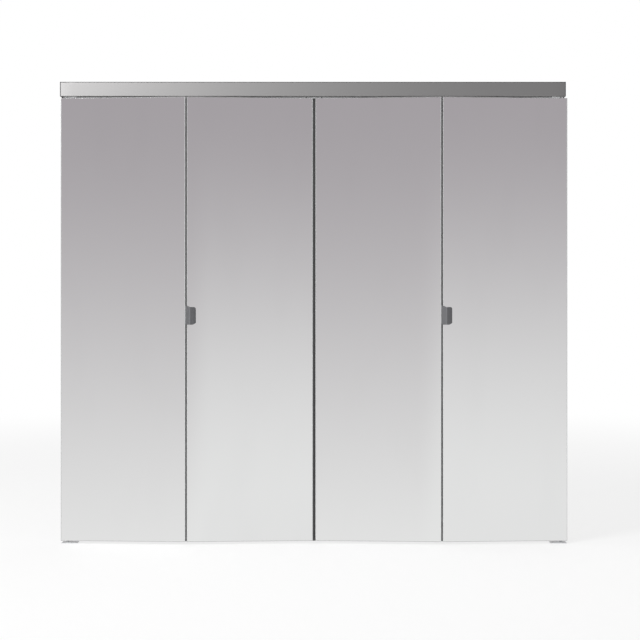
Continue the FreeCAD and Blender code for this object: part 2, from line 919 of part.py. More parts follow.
def pull_screw(z, clearance):
    """Flat-headed screw through the pull's flange into the panel edge."""
    start = Vector(near_edge - pull_flange, -pull_screw_forward, z)
    head_radius = pull_screw_head_radius + clearance
    radius = pull_screw_radius + clearance
    head = Part.makeCone(head_radius, radius, pull_screw_head, start, RIGHT)
    shank = Part.makeCylinder(radius, pull_screw_length, start, RIGHT)
    return joined([head, shank])


def make_pull():
    """Cast finger pull on the +x side of the fold."""
    low = -pull_bottom - cut_margin
    high = pull_top + cut_margin
    depth = pull_ridge_rise + pull_flange_depth + 2 * cut_margin
    section = pull_section()
    section.translate(Vector(0, 0, pull_middle + low))
    stem = section.extrude(Vector(0, 0, high - low))
    window = pull_outline().extrude(Vector(0, depth, 0))
    return stem.common(window).cut(pull_screw_holes())


def make_pull_screws():
    """The two screws of a pull."""
    return group([pull_screw(z, 0) for z in pull_screw_places()])


def pull_screw_holes():
    """Holes for the pull's screws in its flange, the strip and the core."""
    return [pull_screw(z, running_clearance) for z in pull_screw_places()]


# ------------------------------------------------------------ put together
def save_unit(hand, pull_on_lead):
    """Write every node of one door unit; the right one is a mirror image."""
    def put(name, shape):
        placed = shape if hand == "left" else mirrored(shape)
        save(hand + "_" + name, placed)

    def put_pivot(name, shape):
        put(name, on_pivot_panel(shape))

    def put_lead(name, shape):
        put(name, on_lead_panel(shape))

    pivot_holes = [top_sleeve_hole(-1), bottom_sleeve_hole(-1)]
    lead_holes = [top_sleeve_hole(1)]
    if pull_on_lead:
        lead_holes += pull_screw_holes()
        put_lead("finger_pull", make_pull())
        put_lead("finger_pull_screws", make_pull_screws())
    else:
        pivot_holes += [mirrored(hole) for hole in pull_screw_holes()]
        put_pivot("finger_pull", mirrored(make_pull()))
        put_pivot("finger_pull_screws", mirrored(make_pull_screws()))

    put_pivot("pivot_panel_core", make_core(-1, pivot_holes))
    put_pivot("pivot_panel_mirror", make_mirror(-1))
    put_pivot("pivot_panel_edge_strips", make_edge_strips(-1, pivot_holes))
    put_lead("lead_panel_core", make_core(1, lead_holes))
    put_lead("lead_panel_mirror", make_mirror(1))
    put_lead("lead_panel_edge_strips", make_edge_strips(1, lead_holes))

    put_pivot("pivot_side_hinge_leaves", group([make_leaf(-1, z) for z in hinge_heights]))
    put_pivot("pivot_side_hinge_screws", make_hinge_screws(-1))
    put_pivot("hinge_pins", make_hinge_pins())
    put_lead("lead_side_hinge_leaves", group([make_leaf(1, z) for z in hinge_heights]))
    put_lead("lead_side_hinge_screws", make_hinge_screws(1))
    put_pivot("fold_seal", make_fold_seal())

    put_pivot("top_pivot_sleeve", make_top_sleeve(-1))
    put_pivot("top_pivot_pin", make_top_pin())
    put_pivot("top_pivot_spring", make_spring(-1))
    put_pivot("bottom_pivot_sleeve", make_bottom_sleeve(-1))
    put_pivot("bottom_pivot_pin", make_bottom_pin())
    put_lead("guide_sleeve", make_top_sleeve(1))
    put_lead("guide_pin", make_guide_pin())
    put_lead("guide_spring", make_spring(1))
    put_lead("guide_wheel", make_guide_wheel())
    put("top_pivot_block", make_top_block())
    put("floor_plate", make_floor_plate())


def main():
    os.makedirs("parts", exist_ok=True)
    save("top_track", make_track())
    save("track_fascia", make_fascia())
    save("left_end_cap", make_end_cap(track_left, track_left + end_cap_thickness))
    save("right_end_cap", make_end_cap(track_right - end_cap_thickness, track_right))
    save("centre_bumper", make_centre_bumper())
    save("centre_bumper_bolt", make_centre_bolt())
    jack = make_jack_screw()
    save("top_block_jack_screws", group([jack, mirrored(jack)]))
    save_unit("left", True)
    save_unit("right", False)
    save("left_meeting_seal", make_left_meeting_seal())
    save("right_meeting_seal", make_right_meeting_seal())
    print(len(saved), "nodes written")


main()
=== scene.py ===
import json
import math

import bpy
import numpy as np
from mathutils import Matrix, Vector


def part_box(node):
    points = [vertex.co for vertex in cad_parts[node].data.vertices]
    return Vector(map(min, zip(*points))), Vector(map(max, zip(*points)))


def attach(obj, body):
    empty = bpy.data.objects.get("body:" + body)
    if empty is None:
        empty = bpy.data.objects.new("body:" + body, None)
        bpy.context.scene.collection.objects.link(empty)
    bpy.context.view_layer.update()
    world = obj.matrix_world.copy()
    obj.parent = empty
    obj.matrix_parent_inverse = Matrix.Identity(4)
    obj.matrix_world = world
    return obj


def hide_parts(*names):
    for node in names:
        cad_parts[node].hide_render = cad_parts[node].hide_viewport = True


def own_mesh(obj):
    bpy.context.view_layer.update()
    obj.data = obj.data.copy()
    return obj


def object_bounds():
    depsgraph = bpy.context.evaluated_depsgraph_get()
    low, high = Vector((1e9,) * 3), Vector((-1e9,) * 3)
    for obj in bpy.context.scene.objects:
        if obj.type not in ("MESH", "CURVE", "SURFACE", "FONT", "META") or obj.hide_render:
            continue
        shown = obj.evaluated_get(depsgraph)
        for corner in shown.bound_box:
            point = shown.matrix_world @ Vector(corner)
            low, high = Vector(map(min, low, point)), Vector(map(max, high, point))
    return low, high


bl_info = {
    "name": "Mirrored bifold closet door",
    "version": (1, 0, 0),
    "blender": (4, 5, 0),
    "location": "3D View > Sidebar > Closet door",
    "description": "Finishes, trim, finger pulls, springs and studio for mirrored bifold doors",
    "category": "Object",
}

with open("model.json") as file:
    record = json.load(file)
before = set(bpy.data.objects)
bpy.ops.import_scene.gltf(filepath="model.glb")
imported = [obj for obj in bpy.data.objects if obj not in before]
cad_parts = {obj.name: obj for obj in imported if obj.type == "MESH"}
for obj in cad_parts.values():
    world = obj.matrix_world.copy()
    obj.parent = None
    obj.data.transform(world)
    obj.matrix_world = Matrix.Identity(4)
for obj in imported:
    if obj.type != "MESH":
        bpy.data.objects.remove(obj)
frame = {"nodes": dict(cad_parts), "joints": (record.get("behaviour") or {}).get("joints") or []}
cad_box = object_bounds()
nodes = frame["nodes"]
joints = {joint["name"]: joint for joint in frame["joints"]}

HANDS = ("left", "right")
PULL_BODIES = {"left": "left_lead_panel", "right": "right_pivot_panel"}

# How finely the new meshes are divided
WALL_STATIONS = 70
CORNER_POINTS = 7
END_RINGS = 4
EDGE_POINTS = 4
TRIM_STATIONS = 41
TRIM_CORNER_POINTS = 5
RINGS_PER_TURN = 36
WIRE_SIDES = 12
FLOOR_SIDES = 96

# Stretch of a pattern of marks: evenly, along the opening, round a pin
EVENLY = (1, 1, 1)
LENGTHWISE = (0.01, 4, 4)
ROUND_ABOUT = (0.05, 0.05, 6)


# ---------------------------------------------------------------- settings
def length(name, text, default):
    """A length in metres, shown in the scene's own units."""
    return bpy.props.FloatProperty(
        name=name, description=text, default=default, unit="LENGTH", precision=5)


def tone(name, text, default):
    """A surface colour as linear red, green and blue."""
    return bpy.props.FloatVectorProperty(
        name=name, description=text, default=default, subtype="COLOR", size=3, min=0, max=1)


def share(name, text, default):
    """A number from none to all."""
    return bpy.props.FloatProperty(
        name=name, description=text, default=default, subtype="FACTOR", min=0, max=1)


def number(name, text, default):
    """A plain number without a unit."""
    return bpy.props.FloatProperty(name=name, description=text, default=default)


def span(name, text, default):
    """Two plain numbers between which a change runs from its start to its end."""
    return bpy.props.FloatVectorProperty(name=name, description=text, default=default, size=2)


def place(name, text, default):
    """A point in metres."""
    return bpy.props.FloatVectorProperty(
        name=name, description=text, default=default, subtype="TRANSLATION", unit="LENGTH", size=3)


class ClosetFinishSettings(bpy.types.PropertyGroup):
    """Colours and roughness of the door set's surfaces."""
    mirror: tone("Mirror", "Silvered glass", (0.90, 0.905, 0.902))
    # Tint of the ground edge, made pale so that it also paints highlight lines beside the folds.
    glass_edge_and_sheen: tone("Glass edge", "Ground bevel of the glass", (0.84, 0.88, 0.86))
    board: tone("Board", "White melamine on the back of the panels", (0.80, 0.79, 0.76))
    strip: tone("Edge strip", "Bright strip round a panel", (0.84, 0.84, 0.845))
    strip_metal: share("Edge strip metal", "How metallic the strip's finish is", 0.9)
    fascia: tone("Fascia", "Satin trim over the track", (0.328, 0.325, 0.324))
    # Painted shade: the dark tone given to the trim's sloped top edge.
    fascia_shade_line: tone("Fascia line", "Dark folded edge on top of the trim", (0.12, 0.12, 0.12))
    fascia_roughness: share("Fascia roughness", "How far the trim spreads a highlight", 0.55)
    track: tone("Track", "Mill-finished aluminium", (0.70, 0.71, 0.72))
    # Very dark, so that the end pieces paint the shaded lines at the track's ends.
    cap_shade: tone("End cap", "Dark grey enamel", (0.045, 0.045, 0.047))
    pull: tone("Finger pull", "Dark pewter enamel", (0.13, 0.131, 0.138))
    # Dark enough that the seals also paint the shade in the gaps.
    vinyl_shade: tone("Vinyl", "Seals in the gaps", (0.055, 0.055, 0.056))
    rubber: tone("Rubber", "Stop in the middle of the track", (0.03, 0.03, 0.03))
    zinc: tone("Zinc", "Pivot blocks and floor plates", (0.88, 0.89, 0.90))
    hinge: tone("Hinge", "Black enamel of the hinges", (0.05, 0.05, 0.052))
    steel: tone("Steel", "Pins and screws", (0.55, 0.56, 0.57))
    oiled: tone("Oiled wire", "Springs", (0.30, 0.30, 0.31))
    nylon: tone("Nylon", "Sleeves and guide wheels", (0.80, 0.79, 0.74))


class ClosetPullSettings(bpy.types.PropertyGroup):
    """Sizes of a finger pull, measured from the middle of the fold gap and of the core."""
    near_edge: length("Panel edge", "Half the fold gap", 0.002)
    flange: length("Flange", "Thickness of the flange in the fold gap", 0.0014)
    mirror_face: length("Mirror face", "Mirror face in front of the core's middle", 0.011)
    flange_back: length("Flange back", "Back end of the flange behind the core's middle", 0.004)
    toe_x: length("Toe place", "Where the toe over the fold gap starts", -0.0043)
    toe_gap: length("Toe gap", "Air between the toe and the next mirror", 0.0005)
    toe_rise: length("Toe rise", "Thickness of the toe", 0.001)
    thickness: length("Wall", "Thickness of the slope and the lip", 0.0026)
    inner_shift: length("Inner shift", "Inner side of the ridge beyond the outer one", 0.001)
    ridge_x: length("Ridge place", "Distance of the ridge along the panel", 0.0165)
    ridge_rise: length("Ridge rise", "Ridge in front of the mirror", 0.022)
    ridge_round: length("Ridge round", "Length of the bend at the ridge", 0.004)
    lip_x: length("Lip place", "Distance of the free edge along the panel", 0.041)
    lip_rise: length("Lip rise", "Free edge in front of the mirror", 0.017)
    curl: length("Curl", "Width of the curled edge of the lip", 0.0055)
    curl_fall: length("Curl fall", "How far the edge curls back", 0.0025)
    top: length("Top", "Height of the fold side over the middle", 0.043)
    notch: length("Notch", "Height at the ridge", 0.0342)
    lip_top: length("Lip top", "Height of the lip", 0.035)
    corner: length("Corner", "Radius of the lip's upper corner", 0.009)
    bottom: length("Bottom", "Depth of the lower edge under the middle", 0.0424)
    toe_bottom: length("Toe bottom", "Depth of the lower corner at the fold", 0.0385)
    lip_bottom: length("Lip bottom", "Depth of the lower corner of the lip", 0.0335)
    bottom_left: length("Bottom start", "Where the lower edge starts", 0.005)
    bottom_right: length("Bottom end", "Where the lower edge ends", 0.025)
    belly: number("Belly", "Exponent of the lower corner, 1 straight and 2 round", 1.35)
    edge_round: length("Edge round", "Radius of the cast edges", 0.0006)
    # The lighter line along the ridge is a painted highlight.
    ridge_highlight: length("Ridge rub", "Reach of the rubbed line along the ridge", 0.0022)
    lip_rub: length("Lip rub", "Reach of the rubbed line along the free edge", 0.0012)


class ClosetFormSettings(bpy.types.PropertyGroup):
    """Sizes of the formed trim, the springs and the hinge line."""
    hinge_back: length("Hinge line", "Hinge line behind the core's middle", 0.011)
    trim_wall: length("Trim wall", "Thickness of the fascia's sheet", 0.0014)
    trim_slope: length("Trim slope", "Height of the sloped upper edge of the fascia", 0.004)
    trim_under: length("Trim under", "Height of the sloped lower edge of the fascia", 0.0016)
    trim_standoff: length("Trim standoff", "Gap between fascia and track", 0.002)
    trim_bend: length("Trim bend", "Radius of the fascia's bends", 0.000588)
    spring_wire: length("Spring wire", "Radius of the spring wire", 0.0004)
    spring_turns: number("Spring turns", "Turns of each spring", 9.0)
    closed_turns: number("Closed turns", "Turns over which the pitch grows at each end", 1.0)


class ClosetStageSettings(bpy.types.PropertyGroup):
    """Camera, floor, lamps and surroundings."""
    camera_x: length("Camera side", "Camera to the right of the middle", 0.0262)
    camera_z: length("Camera height", "Camera height under the track's top", -1.0474)
    camera_distance: length("Camera distance", "Camera in front of the pivot line", 5.025)
    plane_y: length("Measured plane", "Plane on which the frame's width is measured", -0.025)
    frame_width: length("Frame width", "Width of the view on the measured plane", 2.8134)
    sensor: number("Sensor width", "Sensor width in millimetres", 36.0)
    floor_radius: length("Floor radius", "Radius of the round floor", 9.0)
    floor_shadow: share("Floor shadow", "How much of the floor's shade shows", 0.38)
    floor_near: share("Shaded floor", "Share of the radius up to which shade shows most", 0.35)
    floor_far: share("White floor", "Share of the radius from which the floor is plain white", 0.9)
    ambient: number("Soft light", "Strength of the even light", 0.70)
    upper: tone("Upper surroundings", "What upward reflections show", (0.411, 0.384, 0.405))
    lower: tone("Lower surroundings", "What downward reflections show", (0.877, 0.877, 0.875))
    lower_right: tone("Lower surroundings, right", "The same on the right", (0.833, 0.833, 0.833))
    upper_slope: number("Upper slope", "Height of a direction that shows the upper tone", 0.185)
    lower_slope: number("Lower slope", "The same for the lower tone, left", -0.26)
    lower_slope_right: number("Lower slope, right", "The same on the right", -0.15)
    ramp_curve: share("Ramp curve", "Share of the smooth curve in the ramp of tones", 0.75)
    middle: span("Middle", "Sideways part where left tones turn right", (-0.0213, 0.0107))
    ceiling: tone("Ceiling", "Dim ceiling, in reflections", (0.08, 0.08, 0.08))
    ceiling_span: span("Ceiling span", "Height where the ceiling sets in", (0.20, 0.45))
    side: tone("Bright side", "What reflections to the left show", (1.0, 1.0, 1.0))
    side_right: tone("Dim side", "What reflections to the right show", (0.55, 0.55, 0.55))
    side_span: span("Side span", "Sideways part where the sides set in", (0.42, 0.80))
    ground: tone("Ground", "What steep downward reflections show", (0.70, 0.70, 0.70))
    ground_span: span("Ground span", "Height where the ground sets in", (-0.30, -0.90))
    lamp_power: number("Lamp", "Power of the soft lamp in watts", 110.0)
    sheen_power: number("Sheen lamp", "Power of the lamp that only polished surfaces show", 175.0)
    lamp_size: length("Lamp size", "Width of both lamps", 1.8)
    lamp_place: place("Lamp place", "Where both lamps stand", (-3.2, -3.0, 2.2))


SETTINGS = {
    "closet_finish": ClosetFinishSettings,
    "closet_pull": ClosetPullSettings,
    "closet_form": ClosetFormSettings,
    "closet_stage": ClosetStageSettings,
}


# ------------------------------------------------------------ shader maths
class Value:
    """A node's output that can be used in sums, products and powers."""

    def __init__(self, tree, socket):
        self.tree = tree
        self.socket = socket

    def maths(self, operation, first, second=None):
        """One Math node on values or plain numbers."""
        node = self.tree.nodes.new("ShaderNodeMath")
        node.operation = operation
        for slot, item in enumerate((first, second)):
            if isinstance(item, Value):
                self.tree.links.new(item.socket, node.inputs[slot])
            elif item is not None:
                node.inputs[slot].default_value = item
        return Value(self.tree, node.outputs[0])

    def __add__(self, other):
        return self.maths("ADD", self, other)

    def __radd__(self, other):
        return self.maths("ADD", other, self)

    def __sub__(self, other):
        return self.maths("SUBTRACT", self, other)

    def __rsub__(self, other):
        return self.maths("SUBTRACT", other, self)

    def __mul__(self, other):
        return self.maths("MULTIPLY", self, other)

    def __rmul__(self, other):
        return self.maths("MULTIPLY", other, self)


class Nodes:
    """A node tree with one method that adds any node."""

    def __init__(self, tree):
        self.tree = tree
        tree.nodes.clear()

    def add(self, kind, settings=None, inputs=None, output=0):
        """Add a node: its settings first, then values and links; gives one output."""
        node = self.tree.nodes.new(kind)
        for name, setting in (settings or {}).items():
            setattr(node, name, setting)
        for name, item in (inputs or {}).items():
            socket = node.inputs[name]
            if isinstance(item, Value):
                self.tree.links.new(item.socket, socket)
            else:
                socket.default_value = item
        return Value(self.tree, node.outputs[output]) if node.outputs else None

    def coordinates(self, scale=EVENLY):
        """Object coordinates, stretched along each axis."""
        point = self.add("ShaderNodeTexCoord", output="Object")
        return self.add("ShaderNodeMapping", {}, {"Vector": point, "Scale": scale})

    def noise(self, scale, detail=2.0, stretch=EVENLY):
        """Cloudy noise from 0 to 1; scale counts features per metre."""
        inputs = {"Vector": self.coordinates(stretch), "Scale": scale, "Detail": detail}
        return self.add("ShaderNodeTexNoise", {}, inputs)

    def mix(self, factor, first, second):
        """A colour between two colours."""
        inputs = {"Factor": factor, 6: first, 7: second}
        return self.add("ShaderNodeMix", {"data_type": "RGBA"}, inputs, 2)

    def bump(self, height, distance, strength=1.0):
        """A normal that follows a height, whose full step is a distance in metres."""
        inputs = {"Height": height, "Distance": distance, "Strength": strength}
        return self.add("ShaderNodeBump", {}, inputs)

    def steps(self, value, low, high, kind="SMOOTHSTEP"):
        """A step from 0 at low to 1 at high, smooth or straight."""
        inputs = {"Value": value, "From Min": low, "From Max": high}
        return self.add("ShaderNodeMapRange", {"interpolation_type": kind}, inputs)


def paint(color, factor=1.0):
    """A colour with its full strength for a colour socket, lightened or darkened."""
    return tuple(min(channel * factor, 1.0) for channel in color) + (1.0,)


def new_finish(name, recipe):
    """A material whose Principled shader takes what the recipe gives for each socket."""
    material = bpy.data.materials.new(name)
    material.use_nodes = True
    shader = Nodes(material.node_tree)
    surface = shader.add("ShaderNodeBsdfPrincipled", {}, recipe(shader))
    shader.add("ShaderNodeOutputMaterial", {}, {"Surface": surface})
    return material


def dress(names, material):
    """Give one finish to CAD nodes."""
    for name in names:
        slots = nodes[name].data.materials
        slots.clear()
        slots.append(material)


def both(name):
    """The node's name on the left and on the right door unit."""
    return [hand + "_" + name for hand in HANDS]


# ---------------------------------------------------------------- finishes
def mirror_finish(colors):
    """Silvered glass: a faint wave, a trace of haze, and ground greenish side bevels, pale enough
    to paint highlight lines beside the folds.

    A surface counts as a side bevel by the square of its sideways slope, which is
    under face_turn on the sheet's face and over bevel_turn on the bevel.  Top and
    bottom bevels keep the silver, so only the side bevels carry the painted highlight.
    """
    face_turn = 0.03
    bevel_turn = 0.15

    def recipe(shader):
        wave = shader.noise(scale=1.6, detail=1.0)
        smears = shader.noise(scale=5.0, detail=4.0, stretch=(1, 1, 0.4))
        haze = shader.steps(smears, low=0.45, high=0.8)
        facing = shader.add("ShaderNodeTexCoord", output="Normal")
        sideways = shader.add("ShaderNodeSeparateXYZ", {}, {"Vector": facing}, "X")
        # Side bevels only: their ground tone is partly a painted highlight.
        bevel = shader.steps(sideways * sideways, face_turn, bevel_turn)
        face = shader.mix(haze, paint(colors.mirror), paint(colors.mirror, 0.985))
        return {
            "Base Color": shader.mix(bevel, face, paint(colors.glass_edge_and_sheen)),
            "Metallic": 1 - bevel * 0.9,
            "Roughness": haze * 0.03 + bevel * 0.35 + 0.015,
            "Normal": shader.bump(wave, distance=0.0003, strength=0.2),
        }
    return new_finish("Silvered glass", recipe)


def strip_finish(colors):
    """Bright anodised strip: fine marks along it under a clear satin skin."""
    def recipe(shader):
        marks = shader.noise(scale=300.0, detail=3.0, stretch=(3, 3, 0.02))
        return {
            "Base Color": shader.mix(marks, paint(colors.strip), paint(colors.strip, 0.94)),
            "Metallic": colors.strip_metal,
            "Roughness": marks * 0.1 + 0.2,
            "Normal": shader.bump(marks, distance=0.00002, strength=0.3),
        }
    return new_finish("Bright anodised strip", recipe)


def board_finish(colors):
    """White melamine: a pebbled film with hardly any colour change."""
    def recipe(shader):
        cloud = shader.noise(scale=3.0, detail=3.0)
        pebble = shader.noise(scale=1400.0, detail=1.0)
        return {
            "Base Color": shader.mix(cloud, paint(colors.board), paint(colors.board, 0.94)),
            "Roughness": pebble * 0.12 + 0.40,
            "Normal": shader.bump(pebble, distance=0.00006, strength=0.5),
        }
    return new_finish("White melamine board", recipe)


def worn_marks(shader, scale, stretch):
    """Fine marks drawn out along one axis, alone and under a slow cloud."""
    marks = shader.noise(scale, 3.0, stretch)
    cloud = shader.noise(scale=6.0)
    return marks, marks * 0.7 + cloud * 0.3


def metal_finish(name, color, roughness, scale, stretch, depth, contrast=0.85):
    """Metal with fine marks drawn out along one axis, which vary tone and shine."""
    def recipe(shader):
        marks, worn = worn_marks(shader, scale, stretch)
        return {
            "Base Color": shader.mix(worn, paint(color), paint(color, contrast)),
            "Metallic": 1.0,
            "Roughness": worn * (roughness * 0.4) + roughness * 0.8,
            "Normal": shader.bump(marks, depth, strength=0.35),
        }
    return new_finish(name, recipe)


def trim_finish(colors):
    """Satin trim brushed along its length; its sloped top edge gets a dull dark tone, a painted
    shade line.
    """
    def recipe(shader):
        marks, worn = worn_marks(shader, 420.0, LENGTHWISE)
        # Painted shade line: the marked top edge turns dark and loses its metal.
        fold = shader.add("ShaderNodeAttribute", {"attribute_name": "shade_painted"}, {}, "Fac")
        satin = shader.mix(worn, paint(colors.fascia), paint(colors.fascia, 0.93))
        return {
            "Base Color": shader.mix(fold, satin, paint(colors.fascia_shade_line)),
            "Metallic": 1 - fold,
            "Roughness": worn * 0.1 + (colors.fascia_roughness - 0.05),
            "Normal": shader.bump(marks, distance=0.00002, strength=0.35),
        }
    return new_finish("Satin trim", recipe)


def zinc_finish(colors):
    """Zinc plate: flat crystal patches that differ a little in tone and shine."""
    def recipe(shader):
        inputs = {"Vector": shader.coordinates(), "Scale": 260.0}
        patch = shader.add("ShaderNodeTexVoronoi", {}, inputs, "Color")
        grey = shader.add("ShaderNodeSeparateColor", {}, {"Color": patch})
        return {
            "Base Color": shader.mix(grey, paint(colors.zinc), paint(colors.zinc, 0.86)),
            "Metallic": 0.35,
            "Roughness": grey * 0.18 + 0.27,
            "Normal": shader.bump(shader.noise(900.0), distance=0.00005, strength=0.4),
        }
    return new_finish("Bright zinc plate", recipe)


def enamel_finish(name, color, roughness, grain):
    """Baked enamel: a fine orange-peel skin with a slow change of tone."""
    def recipe(shader):
        peel = shader.noise(grain)
        cloud = shader.noise(scale=25.0)
        return {
            "Base Color": shader.mix(cloud, paint(color), paint(color, 0.86)),
            "Roughness": peel * 0.12 + roughness,
            "Coat Weight": 0.15,
            "Normal": shader.bump(peel, distance=0.00008, strength=0.4),
        }
    return new_finish(name, recipe)


def pull_finish(colors):
    """Dark pewter enamel on a casting, worn brighter where fingers and cloths reach, and lighter
    along the ridge as a painted highlight.
    """
    def recipe(shader):
        peel = shader.noise(scale=1100.0)
        # This mark holds edge wear and, along the ridge, a painted highlight.
        rub = shader.add("ShaderNodeAttribute", {"attribute_name": "wear_and_highlight"}, {}, "Fac")
        patchy_wear_and_highlight = rub * shader.steps(shader.noise(scale=420.0), low=0.2, high=0.8)
        return {
            "Base Color": shader.mix(patchy_wear_and_highlight, paint(colors.pull), paint(colors.pull, 1.6)),
            "Metallic": patchy_wear_and_highlight * 0.5 + 0.35,
            "Roughness": 0.46 + peel * 0.1 - patchy_wear_and_highlight * 0.12,
            "Normal": shader.bump(peel, distance=0.00007, strength=0.4),
        }
    return new_finish("Dark pewter enamel", recipe)


def moulded_finish(name, color, roughness, grain):
    """Moulded plastic or rubber: matt, with a fine even grain."""
    def recipe(shader):
        speck = shader.noise(grain, detail=3.0)
        cloud = shader.noise(scale=18.0)
        return {
            "Base Color": shader.mix(cloud, paint(color), paint(color, 0.88)),
            "Roughness": speck * 0.15 + roughness,
            "Normal": shader.bump(speck, distance=0.00005, strength=0.5),
        }
    return new_finish(name, recipe)


# ------------------------------------------------------------ mesh building
def new_piece(name, points, faces, body, replaced, material):
    """A finished piece at the origin that stands for its CAD nodes."""
    mesh = bpy.data.meshes.new(name)
    mesh.from_pydata(points.tolist(), [], faces)
    mesh.polygons.foreach_set("use_smooth", np.ones(len(mesh.polygons), dtype=bool))
    mesh.validate()
    mesh.materials.append(material)
    piece = bpy.data.objects.new(name, mesh)
    bpy.context.scene.collection.objects.link(piece)
    even = piece.modifiers.new("Flat faces stay flat", "WEIGHTED_NORMAL")
    even.weight = 100
    even.keep_sharp = True
    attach(piece, body)
    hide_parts(*replaced)
    return piece


def tube_faces(rings, around):
    """Quads between closed rings of points, and one face over each open end."""
    ring = np.arange(rings - 1)[:, None] * around
    here = np.arange(around)[None, :]
    there = (here + 1) % around
    quads = np.stack([ring + here, ring + there, ring + around + there, ring + around + here], -1)
    first = list(range(around))[::-1]
    last = list(range((rings - 1) * around, rings * around))
    return quads.reshape(-1, 4).tolist() + [first, last]


def outward(points, faces):
    """The faces, turned round if they enclose a negative volume."""
    volume = 0.0
    for face in faces:
        corner = points[face]
        volume += np.einsum("i,ji->", corner[0], np.cross(corner[1:-1], corner[2:]))
    if volume < 0:
        return [face[::-1] for face in faces]
    return faces


def rounded(corners, radii, steps):
    """An open line whose inner corners become arcs.

    Each corner is cut back by its radius along both of its sides, and the two
    cut points are joined by the parabola that has the corner as its control.
    """
    t = np.linspace(0, 1, steps)[:, None]
    parts = [corners[:1]]
    for before, here, after, radius in zip(corners, corners[1:], corners[2:], radii):
        start = here + (before - here) * (radius / np.linalg.norm(before - here))
        end = here + (after - here) * (radius / np.linalg.norm(after - here))
        parts.append(start * (1 - t) ** 2 + here * 2 * t * (1 - t) + end * t ** 2)
    parts.append(corners[-1:])
    return np.concatenate(parts)


def rounded_ring(corners, radius, steps):
    """A closed outline whose corners all become arcs of the same size.

    Each arc is a parabola, as in rounded.
    """
    t = np.linspace(0, 1, steps)[None, :, None]
    before = np.roll(corners, 1, 0) - corners
    after = np.roll(corners, -1, 0) - corners
    start = corners + before * (radius / np.linalg.norm(before, axis=1, keepdims=True))
    end = corners + after * (radius / np.linalg.norm(after, axis=1, keepdims=True))
    arcs = start[:, None] * (1 - t) ** 2 + end[:, None] * t ** 2
    arcs += corners[:, None] * 2 * t * (1 - t)
    return arcs.reshape(-1, corners.shape[1])


# -------------------------------------------------------------- finger pulls
def pull_top(x, pull):
    """Upper limit of the pull at a distance along the panel: slope, notch, flat, quarter round."""
    straight = np.interp(
        x,
        [pull.toe_x, pull.ridge_x, pull.ridge_x + pull.ridge_round],
        [pull.top, pull.notch, pull.lip_top])
    reach = np.clip(x - (pull.lip_x - pull.corner), 0, pull.corner)
    return straight - pull.corner + np.sqrt(pull.corner ** 2 - reach ** 2)


def pull_bottom(x, pull):
    """Lower limit of the pull: a short slope, a level edge and a flattened quarter ellipse."""
    run = np.clip((x - pull.bottom_right) / (pull.lip_x - pull.bottom_right), 0, 1)
    curve = 1 - (1 - run ** pull.belly) ** (1 / pull.belly)
    level = np.interp(x, [pull.toe_x, pull.bottom_left], [pull.toe_bottom, pull.bottom])
    return (pull.bottom - pull.lip_bottom) * curve - level


def share_along(line):
    """Share of the whole length at each point of a line."""
    step = np.linalg.norm(np.diff(line, axis=0), axis=1)
    return np.concatenate([[0], np.cumsum(step)]) / step.sum()


def pull_sides(pull):
    """Outer and inner side of the pull's wall seen from above, at matching stations.

    Both run from the flange in the fold gap over the toe, up the slope, round
    the ridge and along the lip to its curled edge.
    """
    face = -pull.mirror_face
    inside = pull.near_edge - pull.flange
    toe_back = face - pull.toe_gap
    toe = toe_back - pull.toe_rise
    ridge = face - pull.ridge_rise
    tip = face - pull.lip_rise
    curl_x = pull.lip_x - pull.curl
    curl = tip - pull.curl_fall
    outer = np.array([
        (inside, pull.flange_back), (inside, toe_back), (pull.toe_x, toe_back), (pull.toe_x, toe),
        (pull.ridge_x, ridge), (curl_x, curl), (pull.lip_x, tip)])
    inner = np.array([
        (pull.near_edge, pull.flange_back), (pull.near_edge, face + pull.toe_rise),
        (pull.near_edge, face + pull.toe_rise / 2), (pull.near_edge, face),
        (pull.ridge_x + pull.inner_shift, ridge + pull.thickness),
        (curl_x, curl + pull.thickness), (pull.lip_x, tip + pull.thickness)])
    small = pull.toe_rise * 0.35
    outer_radii = (small / 3, small, small, pull.ridge_round, pull.curl / 2)
    inner_radii = (small / 3, small / 3, small, pull.ridge_round / 2, pull.curl / 2)
    outer = rounded(outer, outer_radii, CORNER_POINTS)
    inner = rounded(inner, inner_radii, CORNER_POINTS)
    share_of = share_along(outer)
    at = np.union1d(np.linspace(0, 1, WALL_STATIONS), share_of)
    return [
        np.stack([np.interp(at, share_of, side[:, k]) for k in range(2)], -1)
        for side in (outer, inner)]


def pull_rings(pull):
    """Centre, direction across, half thickness and inset of every ring of the wall.

    Each end gets a few more rings that close in by a quarter circle.
    """
    outer, inner = pull_sides(pull)
    centre = (outer + inner) / 2
    half = np.linalg.norm(inner - outer, axis=1) / 2
    across = (inner - outer) / (half * 2)[:, None]
    ends = centre[[0, -1]] - centre[[1, -2]]
    ends /= np.linalg.norm(ends, axis=1, keepdims=True)
    centre[[0, -1]] -= ends * pull.edge_round
    turn = np.linspace(0, math.pi / 2, END_RINGS + 1)[:-1]
    reach = (pull.edge_round * np.cos(turn))[:, None]
    order = np.pad(np.arange(len(half)), len(turn), mode="edge")
    closing = pull.edge_round * (1 - np.sin(turn))
    inset = np.concatenate([closing, np.zeros(len(half)), closing[::-1]])
    centre = np.concatenate([
        centre[0] + reach * ends[0], centre, centre[-1] + reach[::-1] * ends[1]])
    return centre, across[order], half[order], inset


